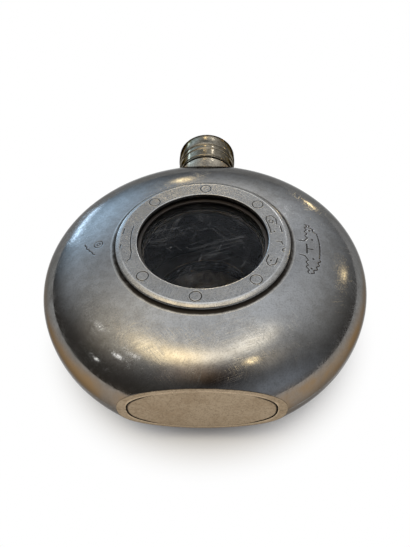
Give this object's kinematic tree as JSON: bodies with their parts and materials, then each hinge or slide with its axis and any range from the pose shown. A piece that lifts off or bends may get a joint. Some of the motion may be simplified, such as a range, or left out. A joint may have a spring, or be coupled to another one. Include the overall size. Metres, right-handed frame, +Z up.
{
  "type": "pewter flask",
  "caption": "Round domed pewter hip flask with a bezelled glass porthole in each face, a flat oval foot and a ring-moulded screw cap on a short neck.",
  "frame": {"origin": "on the surface the flask lies on, under the middle of its box", "axes": "+Z up out of the front porthole, +Y along the neck towards the cap, +X to the right seen from the foot"},
  "size_m": [0.086, 0.0944, 0.0334],
  "materials": {
    "pewter_body": "aged satin pewter, fine scratches",
    "pewter_trim": "aged satin pewter, turned",
    "pewter_plate": "flat rubbed pewter",
    "pewter_cap": "turned pewter, tarnished in the grooves",
    "pewter_inner": "dull tarnished pewter",
    "glass": "clear polished glass",
    "rubber": "matte black rubber",
    "cork": "fine cork"
  },
  "bodies": {
    "flask": {"front_shell": "pewter_body", "front_seat_ring": "pewter_inner", "front_inner_gasket": "rubber", "front_window": "glass", "front_outer_gasket": "rubber", "front_bezel": "pewter_trim", "back_shell": "pewter_body", "back_seat_ring": "pewter_inner", "back_inner_gasket": "rubber", "back_window": "glass", "back_outer_gasket": "rubber", "back_bezel": "pewter_trim", "base_plate": "pewter_plate", "neck": "pewter_trim"},
    "liner": {"cap_liner": "cork"},
    "cap": {"cap": "pewter_cap"}
  },
  "joints": [
    {"name": "cap_lift", "type": "slide", "parent": "flask", "child": "liner", "axis": [0, 1, 0], "range_m": [0, 0.00875]},
    {"name": "cap_turn", "type": "hinge", "parent": "liner", "child": "cap", "pos_m": [0, 0.0412, 0.01668], "axis": [0, 1, 0], "range_deg": [0, 1262]}
  ],
  "couplings": [
    {"joint": "cap_turn", "follows": "cap_lift", "rad_per_m": 2513.3}
  ]
}
